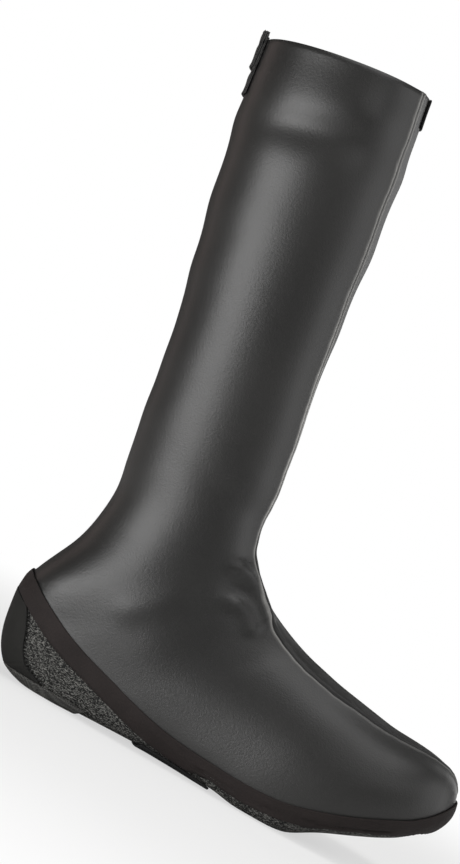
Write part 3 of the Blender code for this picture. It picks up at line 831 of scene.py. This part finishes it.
def finishUpper(piece):
    centres = readFaces(piece, "center")
    facing = coreFacing(centres, readFaces(piece, "normal"))
    high = shaftPlace(centres)[0] > upperSet["rimHeight"]
    rim = high & (np.abs(facing) < upperSet["skinFacing"])
    kinds = np.where(rim, 2, np.where(facing > 0, 0, 1))
    setFinish(piece, skinFinish(), liningFinish(), foamFinish())
    piece.data.polygons.foreach_set("material_index", kinds.astype(np.int32))
    piece.data.update()
    skinCount, liningCount, rimCount = np.bincount(kinds, minlength=3)
    print("upper:", skinCount, "faces of skin,", liningCount, "of lining,", rimCount, "of cut edge")


def makeUpper():
    piece = copyNode("upper", upperSet["piece"])
    seam = seamRun(piece)
    cutAcross(piece, upperSet["pivot"], upperSet["up"], ringLevels(piece))
    holdEdges(piece, upperSet["crease"])
    smoothOut(piece, upperSet["levels"], upperSet["rounds"])
    points, normals = readPoints(piece), readPoints(piece, "normal")
    facing = coreFacing(points, normals)
    skin = facing > upperSet["skinFacing"]
    writePoints(piece, points + ankleShift(points, normals, skin))
    points, normals = readPoints(piece), readPoints(piece, "normal")
    creases = normals * (np.sign(facing) * strokeLift(points))[:, None]
    points = points + creases + seamShift(piece, seam, points, normals, skin)
    writePoints(piece, points + foldShift(points) + heelShift(points))
    finishUpper(piece)
    standFor(piece, "upper")
    return piece


upper = makeUpper()


# sole, tape, panel, patch and strap

plainSet = {
    "sole": {"piece": "soleCloth", "levels": 2, "crease": 0.9},
    "edge_binding": {"piece": "bindingTape", "levels": 2, "crease": 0.5},
    "heel_panel": {"piece": "heelPanel", "levels": 2, "crease": 0.6},
    "heel_patch": {
        "piece": "heelPatch", "levels": 2, "crease": 0.6,
        "dark": (0.012, 0.0118, 0.0112, 1), "pale": (0.115, 0.113, 0.106, 1),
        "weave": 1.5 * mm, "rough": 0.75,
    },
    "arch_strap": {
        "piece": "archStrap", "levels": 2, "crease": 0.8,
        "dark": (0.006, 0.006, 0.0062, 1), "pale": (0.022, 0.022, 0.0225, 1), "rough": 0.85,
    },
}

# all in mm
tapeSet = {
    "middle": (60.0, -1.5),
    "forefoot": (-12.0, 24.0),  # x where the rise begins and is full
    "rise": (4.0, 1.0),  # of the lower and the upper edge
    "heel": (-80.0, -100.0),
    "drop": 0.85,  # of the lower edge, down to the heel panel
    "stepDeg": 2.0,  # round the middle, between looks at the tape's height
    "lookDeg": 1.6,
}


def slideTape(tape, carriers):
    points = readPoints(tape)
    middle = np.array(tapeSet["middle"]) * mm
    turn = np.degrees(np.arctan2(points[:, 1] - middle[1], points[:, 0] - middle[0]))
    stops = np.arange(-180, 181, tapeSet["stepDeg"])
    near = [points[np.abs((turn - stop + 180) % 360 - 180) < tapeSet["lookDeg"], 2] for stop in stops]
    low = np.interp(turn, stops, [group.min() for group in near])
    high = np.interp(turn, stops, [group.max() for group in near])
    share = between(points[:, 2], low, high)
    lowRise, highRise = tapeSet["rise"]
    rise = (lowRise + (highRise - lowRise) * share) * ease(points[:, 0] / mm, *tapeSet["forefoot"]) * mm
    rise -= tapeSet["drop"] * (1 - share) * ease(points[:, 0] / mm, *tapeSet["heel"]) * mm
    trees = [treeOf(carrier) for carrier in carriers]

    def carried(place):
        return min((tree.find_nearest(place) for tree in trees), key=lambda found: found[3])

    for index in np.flatnonzero(rise):  # the edge slides over what carries it and keeps its distance
        before = Vector(points[index])
        gap = carried(before)[3]
        after = before + Vector((0, 0, rise[index]))
        spot, normal = carried(after)[:2]
        way = after - spot if (after - spot).dot(normal) > 0 else normal
        points[index] = spot + way.normalized() * gap
    writePoints(tape, points)


def makePlain():
    finishes = {
        "sole": clothFinish(),
        "edge_binding": tapeFinish(),
        "heel_panel": panelFinish(),
        "heel_patch": weaveFinish("heelPatch", plainSet["heel_patch"]),
        "arch_strap": fuzzyFinish("strapPile", plainSet["arch_strap"]),
    }
    made = {"upper": upper}  # by the name of the node
    for nodeName, row in plainSet.items():
        piece = smoothCopy(nodeName, row)
        points = readPoints(piece)
        writePoints(piece, points + heelShift(points))
        made[nodeName] = piece
        if nodeName == "edge_binding":
            slideTape(piece, (made["sole"], made["upper"]))
        setFinish(piece, finishes[nodeName])
        standFor(piece, nodeName)
        print(row["piece"] + ":", len(piece.data.polygons), "faces")
    return made


made = makePlain()


# stitches round the heel, all in mm

stitchSet = {
    "piece": "heelStitches",
    "size": (1.0, 0.5, 0.3),  # the length is stretched to reach over the edge
    "pitch": 2.4,
    "reach": (0.7, 0.8),  # from the edge on the piece and on the sole
    # node, axis of the stops, first and last stop, way to the edge
    "rows": (
        ("heel_panel", 2, 8.0, 42.0, (1, 0, 0)),
        ("edge_binding", 0, -113.0, -36.0, (0, 0, -1)),
    ),
    "side": 12.0,  # from the middle, where the edge on each side begins
    "step": 1.5,  # between looks for the edge
    "look": 1.2,
    "outside": 2.0,  # the surface is looked for from this far out
    "dark": (0.0025, 0.0025, 0.0025, 1),
    "pale": (0.010, 0.0098, 0.0095, 1),
    "rough": 0.6,
}


def modelStitch():
    deselectAll()
    bpy.ops.mesh.primitive_cube_add(size=1.0)
    model = bpy.context.object
    bpy.ops.object.mode_set(mode="EDIT")
    bpy.ops.mesh.select_all(action="SELECT")
    bpy.ops.mesh.subdivide(number_cuts=1, smoothness=1.0)
    bpy.ops.transform.resize(value=[value * mm for value in stitchSet["size"]])
    bpy.ops.object.mode_set(mode="OBJECT")
    bpy.ops.object.shade_smooth()
    return model


def edgeRun(piece, side, axis, first, last, way):
    points = readPoints(piece)
    points = points[(points[:, 1] - midY) * side > stitchSet["side"] * mm]
    run = []
    for stop in np.arange(first, last, stitchSet["step"]) * mm:
        near = points[np.abs(points[:, axis] - stop) < stitchSet["look"] * mm]
        if len(near):
            run.append(near[np.argmax(near @ np.array(way))])
    run = np.array(run)
    run[1:-1] = (run[:-2] + run[1:-1] + run[2:]) / 3
    return densePath(run, stitchSet["pitch"] * mm)


def layStitch(model, begin, end, normal):
    along = end - begin
    across = normal.cross(along).normalized()
    up = along.cross(across).normalized()
    turn = Matrix((along / mm, across, up)).transposed().to_4x4()
    stitch = bpy.data.objects.new(stitchSet["piece"], model.data.copy())
    stitch.data.transform(Matrix.Translation((begin + end) / 2) @ turn)
    bpy.context.scene.collection.objects.link(stitch)
    return stitch


def makeStitches():
    model = modelStitch()
    copies = []
    soleTree = treeOf(made["sole"])
    inner, outer = (value * mm for value in stitchSet["reach"])
    for nodeName, axis, first, last, way in stitchSet["rows"]:
        tree = treeOf(made[nodeName])
        for side in (-1, 1):
            for place in edgeRun(made[nodeName], side, axis, first, last, way):
                outside = Vector(place) + Vector((0, side * stitchSet["outside"] * mm, 0))
                begin, normal = tree.find_nearest(outside - Vector(way) * inner)[:2]
                end = soleTree.find_nearest(outside + Vector(way) * outer)[0]
                copies.append(layStitch(model, begin, end, normal))
    bpy.data.objects.remove(model)
    takeUp(copies[0])
    for stitch in copies:
        stitch.select_set(True)
    bpy.ops.object.join()
    piece = bpy.context.object
    piece.name = stitchSet["piece"]
    setFinish(piece, fuzzyFinish("blackThread", stitchSet))
    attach(piece, "root")
    print("stitches:", len(copies))


makeStitches()


# loop and tab at the collar

loopSet = {
    "piece": "pullLoop", "levels": 3, "crease": 0.7,
    "rib": 1.7 * mm, "ribHeight": 0.20 * mm,
    "dark": (0.012, 0.012, 0.012, 1), "pale": (0.050, 0.049, 0.047, 1),
    "weave": 1.1 * mm, "rough": 0.55,
}

tabSet = {
    "piece": "collarTab", "levels": 3, "crease": 0.6,
    "dark": (0.006, 0.006, 0.0062, 1), "pale": (0.018, 0.018, 0.0185, 1), "rough": 0.7,
}


def makeLoop():
    piece = smoothCopy("pull_loop", loopSet)
    points, normals = readPoints(piece), readPoints(piece, "normal")
    along = shaftPlace(points)[0] * upperSet["height"]
    rib = np.sin(along * 2 * math.pi / loopSet["rib"])
    points = points + normals * (rib * loopSet["ribHeight"])[:, None]
    writePoints(piece, points + foldShift(points))
    setFinish(piece, weaveFinish("ribbedWebbing", loopSet))
    standFor(piece, "pull_loop")
    print("pull loop:", len(piece.data.polygons), "faces")


def makeTab():
    piece = smoothCopy("front_collar_tab", tabSet)
    points = readPoints(piece)
    writePoints(piece, points + foldShift(points))
    setFinish(piece, fuzzyFinish("tabCloth", tabSet))
    standFor(piece, "front_collar_tab")
    print("collar tab:", len(piece.data.polygons), "faces")


makeLoop()
makeTab()


# pale floor that fades into the paper behind the shoe

floorSet = {
    "size": 14.0,
    "drop": 0.15 * mm,
    "tone": (0.86, 0.86, 0.855, 1),
    "rough": 0.9,
    "fade": (0.2, 0.75),  # distance from the shoe where the paper's glow begins to grow and is full
    "least": 0.6,  # share of the glow near the shoe
}


def makeFloor():
    deselectAll()
    bpy.ops.mesh.primitive_plane_add(size=floorSet["size"], location=(0, 0, -floorSet["drop"]))
    floor = bpy.context.object
    floor.name = "studioFloor"
    bpy.ops.object.transform_apply(location=True)
    constants = {"Roughness": floorSet["rough"], "Base Color": floorSet["tone"]}
    material, place, shader = newFinish("paperFloor", constants)
    radius = place.add("ShaderNodeVectorMath", {"operation": "LENGTH"}, {0: place}, 1)
    seen = place.add("ShaderNodeLightPath")
    glow = place.add("ShaderNodeEmission", {}, {"Color": (1, 1, 1, 1), "Strength": 1.0})
    paper = Wire(place.tree, shader.outputs[0])
    share = (radius.ramp(*floorSet["fade"]) * (1 - floorSet["least"]) + floorSet["least"]) * seen
    both = place.add("ShaderNodeMixShader", {}, {0: share, 1: paper, 2: glow})
    place.tree.links.new(both.socket, place.tree.nodes["Material Output"].inputs["Surface"])
    setFinish(floor, material)
    print("floor laid")


makeFloor()
